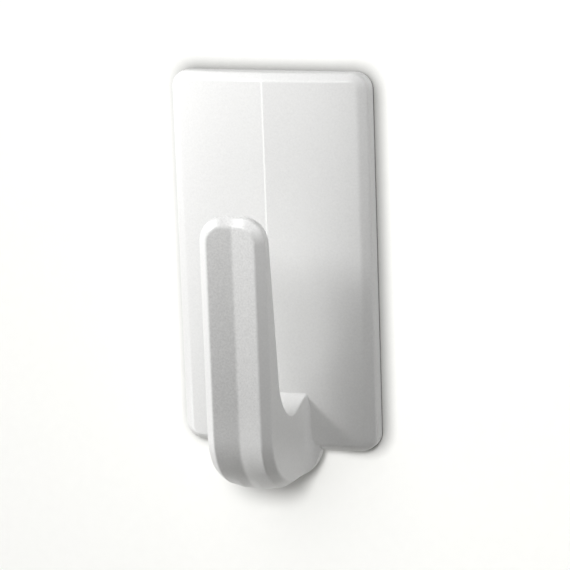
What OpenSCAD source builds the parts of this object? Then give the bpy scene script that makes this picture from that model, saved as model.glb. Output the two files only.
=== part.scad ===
// Adhesive wall hook: a moulded hook cover that slides down on to a base, and the stretch-release
// strip that holds the base on the wall.
// The wall is the plane Y = 0, the hook faces -Y, +X is right and +Z is up.
// The origin is the centre of the strip's sticky face on the wall.

/* [Adhesive strip] */
// Width of the strip
strip_w = 19; // [14:0.5:21]
// Length of the sticky part
sticky_len = 43; // [34:1:48]
// Length of the pull tab below the sticky part
tab_len = 16; // [10:1:18]
// Radius of the tab's lower corners
tab_r = 3; // [0.5:0.5:6]
// Thickness of the foam core
foam_t = 0.8; // [0.5:0.1:1.4]
// Thickness of each adhesive layer
glue_t = 0.12; // [0.1:0.02:0.2]
// Thickness of the film on each face of the tab
film_t = 0.08; // [0.04:0.02:0.1]

/* [Mounting base] */
// Width across the flanges
base_w = 27; // [25:0.5:30]
// How far the base reaches above the sticky part
base_above = 2; // [1:0.5:4]
// How far the base reaches below the sticky part
base_below = 5; // [4.5:0.5:8]
// Thickness of the base
base_t = 2.1; // [1.8:0.1:3]
// Thickness of a flange
flange_t = 1.1; // [0.8:0.1:1.4]
// Width of a flange
flange_w = 1.8; // [1.2:0.1:2.4]
// Chamfer that leads the rails on to the flanges
lead_in = 3; // [1:0.5:5]
// Width of the notch that bares the tab
notch_w = 12; // [8:1:16]
// Height of that notch
notch_h = 3.5; // [2:0.5:4]
// Width of a guide rib on the front of the base
rib_w = 1.2; // [0.8:0.1:2]
// Distance between guide ribs
rib_pitch = 7; // [5:0.5:8]
// Number of guide ribs
rib_count = 3; // [1:2:3]
// How far the ribs stop short of the base's ends
rib_inset = 6; // [5:0.5:12]

/* [Cover fit] */
// Running clearance between cover and base
slide_gap = 0.25; // [0.15:0.05:0.4]
// Gap between the cover's back rim and the wall
wall_gap = 0.4; // [0.2:0.1:0.6]
// Thickness of a guide rail
rail_t = 1.5; // [1:0.1:2]
// How far the rails stop short of the base's lower end
rail_short = 3; // [1:0.5:10]
// Thickness of the bar that stops the cover on the base
stop_t = 1.6; // [1:0.1:2.5]

/* [Faceplate] */
// Width of the faceplate
plate_w = 44.4; // [40:0.2:50]
// Height of the faceplate
plate_h = 80; // [76:1:90]
// How far the faceplate reaches above the base
plate_above = 6; // [5:0.5:10]
// Radius of the faceplate's corners
corner_r = 3.6; // [2.5:0.1:6]
// Rise of the folded front from its sides to its middle line
ridge_rise = 1.85; // [0.6:0.05:3]
// Thickness of the shell
shell_t = 1.6; // [1.3:0.1:2]
// Width of the rim bevel at the sides
rim_side = 2.1; // [1:0.1:3]
// Width of the rim bevel at the top
rim_top = 1.5; // [0.8:0.1:2.5]
// Width of the rim bevel at the bottom
rim_bottom = 1.2; // [0.8:0.1:2.5]
// How far the rim bevel falls back
rim_drop = 1.1; // [0.5:0.1:1.2]

/* [Hook arm] */
// Width of the arm
arm_w = 14.8; // [12:0.2:18]
// How far the arm's front stands off the sides of the faceplate's front
arm_reach = 21.1; // [18:0.1:30]
// Height of the arm's tip above the faceplate's lower edge
arm_rise = 53.1; // [40:0.1:62]
// Radius of the tip's corners
tip_r = 5.3; // [4:0.1:5.8]
// How far the hook hangs below the faceplate
arm_drop = 6.6; // [4:0.1:9]
// Thickness of the arm where its tip starts to round off
arm_tip_t = 3.1; // [2.8:0.1:5]
// Thickness of the arm where the hook's floor starts
arm_low_t = 5.5; // [4:0.1:7]
// Outer radius of the bend
bend_r = 12.6; // [10:0.1:16]
// Radius of the hook's floor
floor_r = 6.3; // [4:0.1:8]
// Height of the hook's floor above the faceplate's lower edge
floor_rise = 9.3; // [6:0.1:14]
// Slope of the floor down from the faceplate, in degrees
floor_slope = 28; // [10:1:40]
// Width of the bevel along the arm's outer edges
bevel_w = 2; // [1:0.1:3]
// Depth of that bevel
bevel_t = 1.35; // [0.6:0.05:2]
// Depth of the V groove down the middle of the arm
groove_t = 1; // [0.4:0.1:1.5]
// How far the groove's bottom runs clear of the hook's underside, so that it fades out in the bend
groove_fade = 0.7; // [0.3:0.1:1.5]
// How far the hook's underside bulges between its bevels
belly_t = 0.75; // [0.3:0.05:1.5]
// Radius between the arm's sides and the faceplate
root_r = 3; // [1:0.1:4]
// Height over which that radius tapers off at its top
root_taper = 5; // [2:0.5:7]
// Height above the faceplate's lower edge of the centre of the hook's round heel
heel_rise = 2.2; // [1:0.1:4]
// How far the heel's round reaches past the fillets
heel_past = 0.2; // [0.1:0.05:0.6]
// Radius along the back edge of the heel
heel_r = 1.5; // [0.5:0.1:3]
// Wall left round the cores inside the hook
core_wall = 2.3; // [1.8:0.1:3]
// Thickness of the web between the two cores
core_web = 1.8; // [1.2:0.1:3]

/* [Hidden] */
$fn = 64;

// Extra length of a cut or an added piece past the face that it goes through
over = 1;
// Depth by which an arc dips under the flat that it runs into, so that the two cross cleanly
dip = 0.02;

// Distances from the wall
strip_t = foam_t + 2 * glue_t;
flange_back = strip_t + base_t - flange_t;
base_front = strip_t + base_t;

// Heights
sticky_top = sticky_len / 2;
sticky_bottom = -sticky_len / 2;
tab_bottom = sticky_bottom - tab_len;
base_top = sticky_top + base_above;
base_bottom = sticky_bottom - base_below;
plate_top = base_top + plate_above;
plate_bottom = plate_top - plate_h;

// Clear width that the cover leaves for the base
slot_w = base_w + 2 * slide_gap;

// The folded front: it clears the base at the flanges, and its two halves fall away from the ridge
panel_half = plate_w / 2 - rim_side;
fold_rate = ridge_rise / panel_half;
fold_angle = atan(fold_rate);
ridge_in = base_front + slide_gap + fold_rate * base_w / 2;
ridge_out = ridge_in + shell_t / cos(fold_angle);
panel_edge = ridge_out - ridge_rise;
// Distance of the inner and outer front from the wall, at a distance x from the ridge
function front_in(x) = ridge_in - fold_rate * abs(x);
function front_out(x) = ridge_out - fold_rate * abs(x);

// The arm
arm_half = arm_w / 2;
facet_half = arm_half - bevel_w;
arm_front = panel_edge + arm_reach;
hook_bottom = plate_bottom - arm_drop;
arm_top = plate_bottom + arm_rise;
tip_z = arm_top - tip_r;
under_z = hook_bottom + belly_t;
bend_d = arm_front - bend_r;
bend_z = under_z + bend_r;
groove_r = bend_r + belly_t + groove_fade;
floor_z = plate_bottom + floor_rise + floor_r;
arm_lean = atan((arm_low_t - arm_tip_t) / (tip_z - floor_z));
floor_d = arm_front - arm_low_t - floor_r / cos(arm_lean);
// Half width of the arm with its fillets, where they meet the faceplate
root_half = arm_half + root_r * (1 - sin(fold_angle));
// Height at which the sloping floor meets the faceplate, beside the arm
root_top = floor_z + (floor_d - front_out(arm_half)) * tan(floor_slope) - floor_r / cos(floor_slope);

// Shapes given as [x, distance from the wall] stand upright, from height z0 to z1
module upright(z0, z1) {
    translate([0, 0, z0]) mirror([0, 1, 0]) linear_extrude(z1 - z0) children();
}

// Shapes given as [x, height] stand out from the wall, from distance d0 to d1
module outward(d0, d1) {
    translate([0, -d0, 0]) rotate([90, 0, 0]) linear_extrude(d1 - d0) children();
}

// Shapes given as [distance from the wall, height] run across, centred on the ridge
module across(w) {
    rotate([90, 0, -90]) linear_extrude(w, center = true) children();
}

// Rectangle between two corners
module span(low, high) {
    translate(low) square(high - low);
}

module rounded_rect(w, z0, z1, r) {
    for (s = [-1, 1]) {
        for (z = [z0 + r, z1 - r]) translate([s * (w / 2 - r), z]) circle(r);
    }
    span([-w / 2 + r, z0], [w / 2 - r, z1]);
    span([-w / 2, z0 + r], [w / 2, z1 - r]);
}

// The strip's outline from the tab's round lower corners up to a height z1
module strip_outline(z1) {
    half = strip_w / 2;
    for (s = [-1, 1]) translate([s * (half - tab_r), tab_bottom + tab_r]) circle(tab_r);
    span([-half + tab_r, tab_bottom], [half - tab_r, z1]);
    span([-half, tab_bottom + tab_r], [half, z1]);
}

module foam_core() {
    color("#f1f0ea")
    outward(glue_t, glue_t + foam_t) strip_outline(sticky_top);
}

module sticky_layer(d0) {
    outward(d0, d0 + glue_t) span([-strip_w / 2, sticky_bottom], [strip_w / 2, sticky_top]);
}

module base_side_adhesive() {
    color("#ecebe2") sticky_layer(glue_t + foam_t);
}

module wall_side_adhesive() {
    color("#ecebe2") sticky_layer(0);
}

module tab_film(d0) {
    outward(d0, d0 + film_t) strip_outline(sticky_bottom);
}

module tab_front_film() {
    color("#e4e6e8") tab_film(glue_t + foam_t);
}

module tab_back_film() {
    color("#e4e6e8") tab_film(glue_t - film_t);
}

// Flanged plate with lead-in chamfers, guide ribs and a notch for the tab
module mounting_base() {
    half = base_w / 2;
    color("#f4f3ef")
    difference() {
        union() {
            outward(strip_t, base_front)
                span([-half + flange_w, base_bottom], [half - flange_w, base_top]);
            outward(flange_back, base_front)
                span([-half, base_bottom], [half, base_top]);
            for (i = [0 : rib_count - 1]) guide_rib((i - (rib_count - 1) / 2) * rib_pitch);
        }
        for (s = [-1, 1]) outward(strip_t - over, base_front + over)
            polygon([[s * (half - lead_in), base_top + over], [s * (half - lead_in), base_top],
                     [s * half, base_top - lead_in], [s * (half + over), base_top - lead_in],
                     [s * (half + over), base_top + over]]);
        outward(strip_t - over, base_front + over)
            rounded_rect(notch_w, base_bottom - notch_h, base_bottom + notch_h, notch_h / 2);
    }
}

module guide_rib(x) {
    top = front_in(abs(x) + rib_w / 2) - slide_gap;
    outward(base_front, top)
        span([x - rib_w / 2, base_bottom + rib_inset], [x + rib_w / 2, base_top - rib_inset]);
}

// One moulding: a shell with a folded front, rails and a stop inside, and the J-shaped arm
module hook_cover() {
    color("#fbfaf7")
    difference() {
        union() {
            cover_shell();
            for (s = [-1, 1]) rail(s);
            stop_bar();
        }
        for (s = [-1, 1]) arm_core(s);
    }
}

module cover_shell() {
    difference() {
        union() {
            faceplate();
            arm();
        }
        shell_cavity();
    }
}

module faceplate() {
    half = plate_w / 2;
    difference() {
        intersection() {
            outward(wall_gap, ridge_out + over)
                rounded_rect(plate_w, plate_bottom, plate_top, corner_r);
            upright(plate_bottom, plate_top)
                polygon([[-half, wall_gap], [-half, panel_edge - rim_drop], [-panel_half, panel_edge],
                         [0, ridge_out],
                         [panel_half, panel_edge], [half, panel_edge - rim_drop], [half, wall_gap]]);
        }
        for (s = [-1, 1]) {
            end_bevel(s, plate_top, rim_top, 1);
            end_bevel(s, plate_bottom, rim_bottom, -1);
        }
    }
}

// Bevel along one end of one half of the folded front; way is 1 at the top and -1 at the bottom
module end_bevel(s, z, w, way) {
    cut_len = plate_w / 2 / cos(fold_angle) + over;
    translate([0, -ridge_out, 0]) rotate([0, 0, s * fold_angle])
        translate([s * cut_len / 2, 0, 0]) across(cut_len)
            polygon([[0, z - way * w], [-rim_drop * (w + over) / w, z + way * over],
                     [over, z + way * over], [over, z - way * w]]);
}

// The hollow behind the folded front, with the way that the base takes as the cover slides up: through
// the lower wall and behind the hook
module shell_cavity() {
    half = plate_w / 2 - shell_t;
    edge = half + over;
    intersection() {
        outward(wall_gap - over, ridge_out) {
            rounded_rect(2 * half, plate_bottom + shell_t, plate_top - shell_t, corner_r - shell_t);
            span([-slot_w / 2, hook_bottom - over], [slot_w / 2, base_top]);
        }
        upright(hook_bottom - 2 * over, plate_top)
            polygon([[-edge, wall_gap - 2 * over], [-edge, front_in(edge)], [0, ridge_in],
                     [edge, front_in(edge)], [edge, wall_gap - 2 * over]]);
    }
}

// Rail with a lip that reaches behind the flange
module rail(s) {
    web = slot_w / 2;
    lip = base_w / 2 - flange_w + slide_gap;
    z0 = base_bottom + rail_short;
    z1 = base_top + stop_t;
    upright(z0, z1) {
        polygon([[s * web, wall_gap], [s * web, front_in(web) + shell_t / 2],
                 [s * (web + rail_t), front_in(web + rail_t) + shell_t / 2], [s * (web + rail_t), wall_gap]]);
        polygon([[s * lip, wall_gap], [s * lip, flange_back - slide_gap],
                 [s * (web + rail_t / 2), flange_back - slide_gap], [s * (web + rail_t / 2), wall_gap]]);
    }
}

// Bar across the top of the rails, which sits on the base's top edge
module stop_bar() {
    half = slot_w / 2 + rail_t;
    upright(base_top, base_top + stop_t)
        polygon([[-half, wall_gap], [-half, front_in(half) + shell_t / 2], [0, ridge_in + shell_t / 2],
                 [half, front_in(half) + shell_t / 2], [half, wall_gap]]);
}

// J-shaped arm: a solid with the arm's outer section run down its front, round the bend and under it,
// less the groove and the throat behind the arm
module arm() {
    difference() {
        union() {
            upright(bend_z, tip_z) arm_front_section();
            arm_tip();
            round_bend(bend_d) bend_section();
            outward(wall_gap, bend_d) translate([0, bend_z]) rotate(-90) bend_section();
            for (s = [0, 1]) mirror([s, 0, 0]) root_fillet();
        }
        upright(tip_z, arm_top + over) groove_section(arm_front);
        tip_groove();
        round_bend(arm_front - groove_t - groove_r) rotate(-90) groove_section(groove_r + groove_t);
        across(2 * (root_half + over)) throat(0);
        heel_cut();
    }
}

module arm_front_section() {
    polygon([[-arm_half, wall_gap], [-arm_half, arm_front - bevel_t], [-facet_half, arm_front],
             [0, arm_front - groove_t],
             [facet_half, arm_front], [arm_half, arm_front - bevel_t], [arm_half, wall_gap]]);
}

// Flat top with bevelled front edge, between two round corners
module arm_tip() {
    for (s = [0, 1]) mirror([s, 0, 0]) translate([arm_half - tip_r, 0, tip_z]) rotate([90, 0, 0])
        rotate_extrude(angle = 90)
            polygon([[0, wall_gap], [tip_r, wall_gap], [tip_r, arm_front - bevel_t],
                     [tip_r - bevel_w, arm_front], [0, arm_front]]);
    across(2 * (arm_half - tip_r))
        polygon([[wall_gap, tip_z], [arm_front, tip_z], [arm_front, arm_top - bevel_w],
                 [arm_front - bevel_t, arm_top], [wall_gap, arm_top]]);
}

// The groove goes on up the bevel of the tip
module tip_groove() {
    translate([0, -arm_front, arm_top - bevel_w]) rotate([-atan(bevel_t / bevel_w), 0, 0])
        upright(-over, norm([bevel_w, bevel_t]) + over) groove_section(0);
}

// V groove whose edges lie at a distance d
module groove_section(d) {
    polygon([[-facet_half, d], [0, d - groove_t], [facet_half, d], [facet_half, d + over],
             [-facet_half, d + over]]);
}

// Quarter turn from the front of the hook to its underside, about a line at a distance d from the wall
module round_bend(d) {
    translate([0, -d, bend_z]) rotate([90, 0, -90]) rotate([0, 0, -90]) rotate_extrude(angle = 90)
        children();
}

// Section of the bend as [radius, x]: bevelled edges, and a belly between them
module bend_section() {
    belly_r = (facet_half * facet_half + belly_t * belly_t) / (2 * belly_t);
    polygon([[0, -arm_half], [bend_r - bevel_t, -arm_half], [bend_r, -facet_half],
             [bend_r, facet_half], [bend_r - bevel_t, arm_half], [0, arm_half]]);
    intersection() {
        translate([bend_r + belly_t - belly_r, 0]) circle(belly_r);
        span([bend_r - over, -facet_half], [bend_r + belly_t + over, facet_half]);
    }
}

// Hollow fillet between the arm's right side and the faceplate: it tapers off at its top, and below the
// faceplate it ends in a round heel
module root_fillet() {
    gap = root_r - dip;
    centre = [arm_half + gap, front_out(arm_half + gap) + gap / cos(fold_angle)];
    heel_centre = plate_bottom + heel_rise;
    inside = arm_half - over;
    inside_top = root_top + over * root_taper / (root_half - arm_half);
    intersection() {
        upright(hook_bottom, inside_top) difference() {
            span([inside, wall_gap], [root_half, centre[1]]);
            translate(centre) circle(root_r);
        }
        outward(wall_gap, centre[1]) intersection() {
            polygon([[inside, under_z + bevel_t], [root_half, under_z + bevel_t],
                     [root_half, root_top - root_taper], [inside, inside_top]]);
            union() {
                translate([0, heel_centre]) circle(root_half + heel_past);
                span([0, heel_centre], [root_half + over, inside_top + over]);
            }
        }
    }
}

// Space between the arm and the faceplate, grown on every side by a margin
module throat(margin) {
    r = floor_r + margin;
    centre = [floor_d, floor_z];
    floor_start = centre + (r - dip) * [-sin(floor_slope), -cos(floor_slope)];
    floor_back = floor_start + (floor_start[0] + over) * [-1, tan(floor_slope)];
    arm_foot = centre + (r - dip) * [cos(arm_lean), -sin(arm_lean)];
    arm_up = plate_top - arm_foot[1];
    arm_head = arm_foot + arm_up * [tan(arm_lean), 1];
    translate(centre) circle(r);
    polygon([centre, arm_foot, arm_head, [floor_back[0], arm_head[1]], floor_back, floor_start]);
}

module heel_cut() {
    centre = [ridge_in + heel_r, hook_bottom + heel_r];
    across(2 * (root_half + over)) difference() {
        span([wall_gap - over, hook_bottom - over], centre);
        translate(centre) circle(heel_r);
    }
}

// Core that keeps the thick root of the hook to an even wall
module arm_core(s) {
    inner = core_web / 2;
    outer = arm_half - core_wall;
    translate([s * (inner + outer) / 2, 0, 0]) across(outer - inner) difference() {
        union() {
            translate([bend_d, bend_z]) circle(bend_r - core_wall);
            span([wall_gap, under_z + core_wall], [bend_d, bend_z]);
        }
        throat(core_wall);
        span([wall_gap - over, bend_z], [arm_front, plate_top]);
    }
}

hook_cover();
mounting_base();
foam_core();
base_side_adhesive();
wall_side_adhesive();
tab_front_film();
tab_back_film();
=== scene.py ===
# %% [markdown]
# # An adhesive wall hook
#
# The object is a white moulded cover with a J-shaped hook on it. It slides down on to a flat base, and
# a stretchy adhesive strip holds the base on the wall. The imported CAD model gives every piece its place
# and size in metres. This lesson keeps that frame and makes what the eye sees in it: softened mouldings,
# real finishes, a camera where the photographer stood, and soft studio light.

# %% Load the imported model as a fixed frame
import math

import bmesh
import bpy
import numpy as np
from mathutils import Matrix, Vector


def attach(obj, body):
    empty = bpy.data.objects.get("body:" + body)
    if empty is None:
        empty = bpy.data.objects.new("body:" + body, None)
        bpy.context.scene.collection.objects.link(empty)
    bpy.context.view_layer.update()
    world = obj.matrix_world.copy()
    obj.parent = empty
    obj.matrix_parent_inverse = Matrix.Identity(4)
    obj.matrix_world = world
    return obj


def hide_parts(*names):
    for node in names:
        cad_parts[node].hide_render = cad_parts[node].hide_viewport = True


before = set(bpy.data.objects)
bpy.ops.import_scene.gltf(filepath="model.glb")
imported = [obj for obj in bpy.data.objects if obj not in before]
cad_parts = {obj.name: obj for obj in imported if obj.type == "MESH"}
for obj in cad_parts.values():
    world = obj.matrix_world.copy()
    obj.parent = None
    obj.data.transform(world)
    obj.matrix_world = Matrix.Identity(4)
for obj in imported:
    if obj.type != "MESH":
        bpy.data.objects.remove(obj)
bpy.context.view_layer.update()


print("CAD nodes:", sorted(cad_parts))

# %% [markdown]
# ## The camera
#
# The photograph was taken with a long lens from the right and a little above, and tipped by two degrees.
# Blender could aim the camera with a Track To constraint, but a constraint can't hold that tip. So the
# camera's own axes are worked out from three angles: its back axis points from the aim to the lens, its
# side axis is level, and both other axes then turn by the tip.

# %% Camera at the photographer's place
MM = 0.001
CAMERA_TURN, CAMERA_LIFT, CAMERA_TIP = (math.radians(angle) for angle in (23.58, 12.10, 2.01))
CAMERA_AIM, CAMERA_DISTANCE = Vector((0.78, 0.0, -16.36)) * MM, 527.6 * MM
LENS, SENSOR = 157.25, 36.0


def direction(turn, lift):
    """Unit vector from the hook to a place turned to the right from straight ahead, and lifted."""
    return Vector((math.sin(turn) * math.cos(lift), -math.cos(turn) * math.cos(lift), math.sin(lift)))


back = direction(CAMERA_TURN, CAMERA_LIFT)
level = Vector((math.cos(CAMERA_TURN), math.sin(CAMERA_TURN), 0.0))
upright = back.cross(level)
right = level * math.cos(CAMERA_TIP) - upright * math.sin(CAMERA_TIP)
up = level * math.sin(CAMERA_TIP) + upright * math.cos(CAMERA_TIP)

bpy.ops.object.select_all(action="DESELECT")
bpy.ops.object.camera_add()
camera = bpy.context.active_object
camera.name = "camera"
camera.data.lens, camera.data.sensor_width = LENS, SENSOR
axes = Matrix((right, up, back)).transposed().to_4x4()
camera.matrix_world = Matrix.Translation(CAMERA_AIM + CAMERA_DISTANCE * back) @ axes
bpy.context.scene.camera = camera
print("camera stands", round(CAMERA_DISTANCE, 3), "m from the hook")

# %% [markdown]
# ## Tools for modelling by place
#
# Most of the work happens in edit mode, where each operator acts on what is selected. By hand you would
# click on an edge. In a script it is safer to describe the edge by where it is, so `pick` selects
# corners, edges or faces by a rule on their place. A place is in millimetres: `at.x` across, `at.y` out
# from the wall and `at.z` up. Rounding leaves tiny errors in every place, so rules allow for them.

# %% Picking by place
SAME, HAIR, NEAR = 0.001, 0.01, 0.1   # tolerances in mm: for one spot, one row and one side of a piece
SQUARELY = 0.9                        # a face looks one way when this much of its normal points there


def pick(piece, kind, rule):
    """Select the corners, edges or faces whose middle (x, out, up in mm) passes a rule."""
    bpy.ops.mesh.select_mode(type=kind)
    bpy.ops.mesh.select_all(action="DESELECT")
    mesh = bmesh.from_edit_mesh(piece.data)
    mesh.normal_update()
    picked = 0
    for part in {"VERT": mesh.verts, "EDGE": mesh.edges, "FACE": mesh.faces}[kind]:
        corners = [part] if kind == "VERT" else part.verts
        middle = sum((corner.co for corner in corners), Vector()) / len(corners) / MM
        if rule(Vector((middle.x, -middle.y, middle.z)), part):
            part.select_set(True)
            picked += 1
    mesh.select_flush_mode()
    bmesh.update_edit_mesh(piece.data)
    return picked


def face_count(piece):
    """Number of faces of a piece that is open in edit mode."""
    return len(bmesh.from_edit_mesh(piece.data).faces)


print("places closer than", HAIR, "mm count as one row")


# %% Starting, moving and softening
def start(name, primitive, **settings):
    """Add a primitive with nothing else selected, name it and open it in edit mode."""
    bpy.ops.object.select_all(action="DESELECT")
    primitive(**settings)
    piece = bpy.context.active_object
    piece.name = name
    bpy.ops.object.mode_set(mode="EDIT")
    return piece


def close():
    """Leave edit mode."""
    bpy.ops.object.mode_set(mode="OBJECT")


def move(x=0.0, out=0.0, up=0.0):
    """Move what is selected, in mm."""
    bpy.ops.transform.translate(value=(x * MM, -out * MM, up * MM))


def block(name, low, high):
    """A box between two corners given as x, out and up in mm, open in edit mode."""
    piece = start(name, bpy.ops.mesh.primitive_cube_add, size=1.0)
    bpy.ops.transform.resize(value=[(top - bottom) * MM for bottom, top in zip(low, high)])
    move(*[(top + bottom) / 2 for bottom, top in zip(low, high)])
    return piece


def soften(width, steps):
    """Round the selected edges over a width on each side, in mm."""
    bpy.ops.mesh.bevel(offset=width * MM, offset_type="OFFSET", segments=steps, profile=0.5,
                       affect="EDGES", clamp_overlap=False)


print("helpers take lengths in mm, and one is", MM, "m")

# %% [markdown]
# ## The faceplate
#
# On the real hook the faceplate is a shallow injection moulding: round corners, a bevelled rim, and a
# front folded along a fine middle line. It could be traced as one outline and extruded, but box
# modelling keeps each feature one step: round four edges of a box, inset its front to leave the rim,
# push the inset out, and then crown it.

# %% Sizes of the faceplate, in mm
PLATE_W, PLATE_TOP, PLATE_BOTTOM, CORNER_R = 44.4, 29.5, -50.5, 3.6
WALL_GAP = 0.4                                                 # between the wall and the plate's back
RIM_SIDE, RIM_TOP, RIM_BOTTOM, RIM_DROP = 2.1, 1.5, 1.2, 1.1   # the rim's widths, and how far it drops
RIDGE_OUT, RIDGE_RISE = 6.2423, 1.85                           # the middle line's place, and its rise
PLATE_MIDDLE, PLATE_H = (PLATE_TOP + PLATE_BOTTOM) / 2, PLATE_TOP - PLATE_BOTTOM
PANEL_HALF = PLATE_W / 2 - RIM_SIDE
RIM_OUT = RIDGE_OUT - RIDGE_RISE - RIM_DROP
print("each half of the front is", round(PANEL_HALF, 2), "mm wide inside the rim")


# %% Box with round corners, a rim and a raised front
def facing(face):
    """How squarely a face looks away from the wall: 1 at the front, 0 on a side wall, -1 at the back."""
    return -face.normal.y


plate = block("faceplate", (-PLATE_W / 2, WALL_GAP, PLATE_BOTTOM), (PLATE_W / 2, RIM_OUT, PLATE_TOP))
pick(plate, "EDGE", lambda at, edge: abs(at.x) > PLATE_W / 2 - NEAR
     and abs(at.z - PLATE_MIDDLE) > PLATE_H / 2 - NEAR)
soften(CORNER_R, steps=10)

pick(plate, "FACE", lambda at, face: facing(face) > SQUARELY)
bpy.ops.mesh.inset(thickness=RIM_SIDE * MM)
taller = (PLATE_H - RIM_TOP - RIM_BOTTOM) / (PLATE_H - 2 * RIM_SIDE)
bpy.ops.transform.resize(value=(1, 1, taller), center_override=(0, 0, PLATE_MIDDLE * MM))
move(out=RIM_DROP, up=(RIM_BOTTOM - RIM_TOP) / 2)
print("faceplate block:", face_count(plate), "faces")

# %% [markdown]
# The front isn't flat. It falls back from the middle line to both sides, gently at first and faster
# towards the rim, and the two halves meet in a fine raised line. A lattice could bend it, but moving
# whole columns of corners keeps control of the curve: the front is cut into upright strips, and each
# strip's corners move out by what the curve says.

# %% Curves of the front
FOLD_DROP, ROLL_DROP, ROLL_POWER = 1.0, 0.85, 4   # mm of straight fall, mm of roll, and how late
LINE_RISE, LINE_W = 0.15, 0.45                    # height and left flank of the fine line, in mm
COLUMNS = (0.0, 5.0, 9.0, 12.0, 14.5, 16.5, 18.2, PANEL_HALF)
COLUMN_DROPS = [FOLD_DROP * share + ROLL_DROP * share ** ROLL_POWER
                for share in (x / PANEL_HALF for x in COLUMNS)]


def front_drop(x):
    """How far the front lies behind its middle line at a distance x from it, in mm."""
    return float(np.interp(abs(x), COLUMNS, COLUMN_DROPS))


def middle_line(x):
    """Height of the fine line: a steep left flank, and a right flank as wide as the panel."""
    return LINE_RISE * float(np.interp(x, (-LINE_W, 0.0, PANEL_HALF), (0.0, 1.0, 0.0)))


print("the front falls back", round(front_drop(PANEL_HALF), 2), "mm to its sides")

# %% Crowned front with a fine middle line
BACK_STAYS = WALL_GAP + 1.0   # mm from the wall; corners nearer to it belong to the back


def cut_at(x=None, out=None):
    """Add a line of edges right round the piece where it crosses a plane."""
    bpy.ops.mesh.select_all(action="SELECT")
    if out is None:
        bpy.ops.mesh.bisect(plane_co=(x * MM, 0, 0), plane_no=(1, 0, 0))
    else:
        bpy.ops.mesh.bisect(plane_co=(0, -out * MM, 0), plane_no=(0, 1, 0))


def lift_columns(piece, half, lift, behind):
    """Move each column of corners in a front by what lift(x) says; corners further back stay."""
    mesh = bmesh.from_edit_mesh(piece.data)
    for column in sorted({round(corner.co.x / MM, 3) for corner in mesh.verts}):
        if abs(column) < half and pick(piece, "VERT", lambda at, corner: abs(at.x - column) < SAME
                                       and at.y > behind):
            move(out=lift(column))


for column in COLUMNS[1:-1]:
    cut_at(x=column)
    cut_at(x=-column)
cut_at(x=0)
cut_at(x=-LINE_W)
lift_columns(plate, PANEL_HALF, lambda x: RIDGE_RISE - front_drop(x) + middle_line(x), BACK_STAYS)
print("crowned faceplate:", face_count(plate), "faces")

# %% [markdown]
# No moulded edge is a knife edge: the tool that cuts the mould leaves a small radius, and that radius is
# what catches the light along the rim. Bevel makes it, in three goes, because the rim's inner, outer and
# back edges have different radii. Each set of edges is found by the two faces that meet there.

# %% Soft edges on the rim
PANEL, RIM, SIDE_WALL = 0.93, 0.3, 0.1   # facing of panels and rim at least, and of side walls at most
RIM_IN_SOFT, RIM_OUT_SOFT, BACK_SOFT = 0.4, 0.45, 0.3


def sides(edge):
    """How squarely the two faces beside an edge look out from the wall, least first."""
    return sorted(facing(face) for face in edge.link_faces)


def face_outwards():
    """Turn all normals of the piece in edit mode outwards."""
    bpy.ops.mesh.select_all(action="SELECT")
    bpy.ops.mesh.normals_make_consistent(inside=False)


pick(plate, "EDGE", lambda at, edge: RIM < sides(edge)[0] < PANEL <= sides(edge)[1])
soften(RIM_IN_SOFT, steps=4)
pick(plate, "EDGE", lambda at, edge: sides(edge)[0] < SIDE_WALL and RIM < sides(edge)[1] < PANEL)
soften(RIM_OUT_SOFT, steps=4)
pick(plate, "EDGE", lambda at, edge: sides(edge)[0] < -SQUARELY and abs(sides(edge)[1]) < SIDE_WALL)
soften(BACK_SOFT, steps=3)
face_outwards()
close()
print("faceplate:", len(plate.data.polygons), "faces")

# %% [markdown]
# ## The hook arm
#
# The arm is the piece that takes most skill. Seen from the side it is a J whose inside and outside are
# different curves, and its section changes on the way: bevelled edges with a V groove in front, a round
# belly underneath, and a flare where it joins the plate. A curve with a bevel object would carry one
# section only. So half of the J is drawn as a strip of faces, one row after another from the plate to
# the tip, the strip is extruded sideways in three steps, and the section is then shaped row by row.

# %% Sizes of the arm, in mm
ARM_HALF, FACET_HALF, TIP_HALF = 7.4, 5.4, 2.1      # half widths of the arm, its front and its flat top
ARM_FRONT, ARM_TOP, TIP_R = 25.4923, 2.6, 5.3       # furthest out, highest up, and the tip's corners
ARM_TIP_T, ARM_LOW_T = 3.1, 5.5                     # thickness at the tip and above the bend
BEND_R, BEND_Z = 12.6, -43.75                       # the bend's outer radius, and its middle's height
FLOOR_R, FLOOR_DEEP, FLOOR_LOW = 7.0, 10.5, -40.9   # the floor's ellipse, and its lowest point
FLOOR_SLOPE = math.radians(25)                      # of the floor between the ellipse and the plate
TIP_Z, UNDER_Z, BEND_OUT = ARM_TOP - TIP_R, BEND_Z - BEND_R, ARM_FRONT - BEND_R
FLOOR_MIDDLE = FLOOR_LOW + FLOOR_DEEP
ARM_LEAN = math.atan((ARM_LOW_T - ARM_TIP_T) / (TIP_Z - FLOOR_MIDDLE))
FLOOR_OUT = ARM_FRONT - ARM_LOW_T - FLOOR_R / math.cos(ARM_LEAN)
print("the arm's back leans by", round(math.degrees(ARM_LEAN), 1), "degrees")


# %% Curves of the hook's floor and heel
def around(centre, reach, drop, angle):
    """Point of an ellipse in the side view, as (out, up); the angle grows downwards from the front."""
    return Vector((centre[0] + reach * math.cos(angle), centre[1] - drop * math.sin(angle)))


def floor_curve(angle):
    """Point on the round floor of the hook."""
    return around((FLOOR_OUT, FLOOR_MIDDLE), FLOOR_R, FLOOR_DEEP, angle)


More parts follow.
